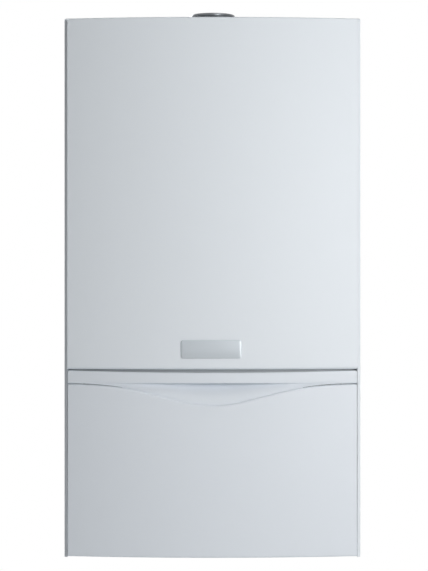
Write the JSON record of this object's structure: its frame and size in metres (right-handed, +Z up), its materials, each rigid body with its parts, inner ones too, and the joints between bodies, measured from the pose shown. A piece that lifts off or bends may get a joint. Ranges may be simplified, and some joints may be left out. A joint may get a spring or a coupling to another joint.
{
  "type": "combi boiler",
  "caption": "Wall-hung fan-flued combi boiler: lift-off white casing with a bowed front, drop-down flap with a wave-shaped grip over the controls, and a flue collar on top.",
  "frame": {"origin": "centre of the hanging bracket's back face, which is in the plane of the wall", "axes": "+X to the right as seen from the front, +Y into the wall, +Z up"},
  "size_m": [0.44, 0.3395, 0.825],
  "materials": {
    "white_enamel": "satin powder coat on sheet steel",
    "white_plastic": "moulded, semi-gloss, matched to the casing",
    "satin_plate": "moulded plate with a satin silver face, bare",
    "grey_plastic": "moulded, fine texture",
    "black_plastic": "moulded, fine texture",
    "red_plastic": "moulded",
    "white_head": "moulded",
    "galvanised": "zinc-coated sheet",
    "polished_steel": "polished",
    "stainless": "stamped stainless sheet",
    "aluminium": "die-cast",
    "copper": "drawn copper",
    "brass": "machined brass",
    "cast_iron": "cast, painted",
    "ceramic_fibre": "pressed fibre board",
    "white_ceramic": "glazed",
    "vessel_red": "stoved paint on pressed steel",
    "circuit_board": "glass-fibre laminate with solder mask",
    "clear_window": "clear"
  },
  "bodies": {
    "chassis": {"hanging_bracket": "galvanised", "chassis_frame": "galvanised", "top_plate": "galvanised", "pipe_rail": "galvanised", "chamber_shell": "galvanised", "chamber_front_cover": "galvanised", "flue_collar": "polished_steel", "flue_hood": "aluminium", "fan_housing": "aluminium", "fan_motor": "black_plastic", "main_heat_exchanger": "copper", "combustion_chamber": "stainless", "insulation_lining": "ceramic_fibre", "burner_bars": "stainless", "gas_manifold": "aluminium", "ignition_electrode": "white_ceramic", "heating_flow_pipe": "copper", "hot_outlet_pipe": "copper", "gas_inlet_pipe": "brass", "cold_inlet_pipe": "copper", "heating_return_pipe": "copper", "discharge_pipe": "copper", "expansion_vessel": "vessel_red", "expansion_hose": "copper", "plate_heat_exchanger": "stainless", "diverter_valve_body": "brass", "diverter_motor": "white_head", "pump_body": "cast_iron", "pump_motor": "black_plastic", "auto_air_vent": "brass", "relief_valve_body": "brass", "flow_sensor_body": "black_plastic", "primary_flow_pipe": "copper", "primary_return_pipe": "copper", "gas_valve": "aluminium", "control_box": "black_plastic", "control_fascia": "grey_plastic", "circuit_board": "circuit_board", "display_window": "clear_window", "gauge_body": "black_plastic", "gauge_lens": "clear_window", "cable_gland": "black_plastic"},
    "casing": {"outer_casing": "white_enamel", "grip_trim": "white_plastic", "badge_plate": "satin_plate", "casing_screw_left": "polished_steel", "casing_screw_right": "polished_steel"},
    "flap": {"front_flap": "white_plastic", "flap_hinge_pin_left": "polished_steel", "flap_hinge_pin_right": "polished_steel"},
    "fan_wheel": {"fan_impeller": "galvanised"},
    "pump_wheel": {"pump_impeller": "black_plastic"},
    "turbine": {"flow_turbine": "white_head"},
    "diverter": {"diverter_stem": "brass"},
    "relief_knob": {"relief_valve_knob": "red_plastic"},
    "heating_selector": {"heating_knob": "black_plastic"},
    "hot_water_selector": {"hot_water_knob": "black_plastic"},
    "power_switch": {"power_rocker": "black_plastic"},
    "reset": {"reset_button": "red_plastic"},
    "needle": {"gauge_needle": "red_plastic"}
  },
  "joints": [
    {"name": "casing_lift", "type": "slide", "parent": "chassis", "child": "casing", "axis": [0, 0, 1], "range_m": [0, 0.83]},
    {"name": "flap_hinge", "type": "hinge", "parent": "casing", "child": "flap", "pos_m": [0, -0.309, -0.727], "axis": [1, 0, 0], "range_deg": [0, 90]},
    {"name": "fan_spin", "type": "hinge", "parent": "chassis", "child": "fan_wheel", "pos_m": [-0.024, -0.16, 0.0012], "axis": [0, -1, 0], "continuous": true},
    {"name": "pump_spin", "type": "hinge", "parent": "chassis", "child": "pump_wheel", "pos_m": [0.13, -0.11, -0.549], "axis": [0, -1, 0], "continuous": true},
    {"name": "turbine_spin", "type": "hinge", "parent": "chassis", "child": "turbine", "pos_m": [0.065, -0.096, -0.665], "axis": [0, 0, 1], "continuous": true},
    {"name": "diverter_slide", "type": "slide", "parent": "chassis", "child": "diverter", "axis": [0, -1, 0], "range_m": [0, 0.0075]},
    {"name": "relief_turn", "type": "hinge", "parent": "chassis", "child": "relief_knob", "pos_m": [0.07, -0.17, -0.4896], "axis": [0, -1, 0], "range_deg": [0, 90]},
    {"name": "heating_knob_turn", "type": "hinge", "parent": "chassis", "child": "heating_selector", "pos_m": [0.066, -0.29, -0.587], "axis": [0, 1, 0], "range_deg": [-135, 135]},
    {"name": "hot_water_knob_turn", "type": "hinge", "parent": "chassis", "child": "hot_water_selector", "pos_m": [0.134, -0.29, -0.587], "axis": [0, 1, 0], "range_deg": [-135, 135]},
    {"name": "power_rocker_tilt", "type": "hinge", "parent": "chassis", "child": "power_switch", "pos_m": [-0.134, -0.2838, -0.669], "axis": [1, 0, 0], "range_deg": [0, 12]},
    {"name": "reset_press", "type": "slide", "parent": "chassis", "child": "reset", "axis": [0, 1, 0], "range_m": [0, 0.0015], "stiffness_N_per_m": 400},
    {"name": "needle_turn", "type": "hinge", "parent": "chassis", "child": "needle", "pos_m": [-0.134, -0.28, -0.587], "axis": [0, 1, 0], "range_deg": [0, 240], "stiffness_Nm_per_rad": 0.0002}
  ]
}
